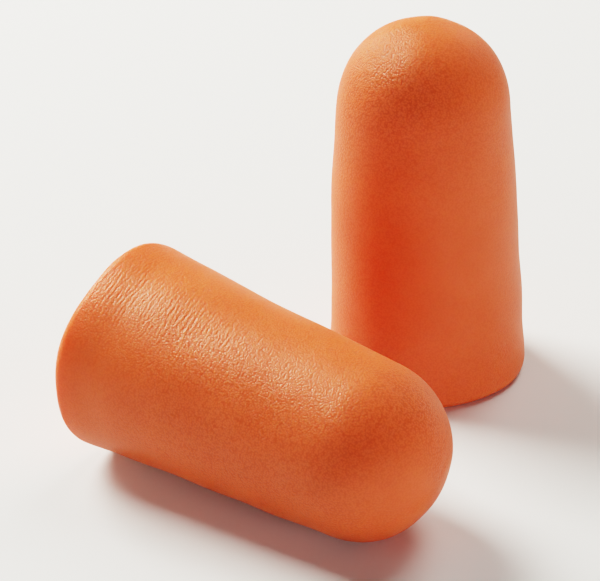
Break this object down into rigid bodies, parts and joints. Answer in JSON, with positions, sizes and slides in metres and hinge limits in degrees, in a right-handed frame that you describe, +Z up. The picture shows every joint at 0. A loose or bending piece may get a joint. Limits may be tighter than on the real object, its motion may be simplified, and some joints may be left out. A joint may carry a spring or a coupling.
{
  "type": "foam ear plugs",
  "caption": "Uncorded foam ear plugs with tapered sides, domed tips and flat bases, standing and lying loose.",
  "frame": {"origin": "on the surface that both plugs rest on, at the middle of the pair's footprint", "axes": "+Z up; the upright plug stands behind and to the right, at +X and +Y; the lying plug's tip points forward and to the right, towards +X and -Y; the viewer stands at -Y"},
  "size_m": [0.0309, 0.0335, 0.025],
  "materials": {
    "orange_foam": "soft slow-recovery polyurethane foam in bright orange, with a closed satin skin that has a fine pebble grain and small cross wrinkles near the base"
  },
  "bodies": {
    "upright_plug": {"upright_plug": "orange_foam"},
    "lying_plug": {"lying_plug": "orange_foam"}
  },
  "joints": [
    {"name": "lying_plug_lift", "type": "slide", "parent": "upright_plug", "child": "lying_plug", "axis": [0, 0, 1], "range_m": [0, 0.03]}
  ]
}
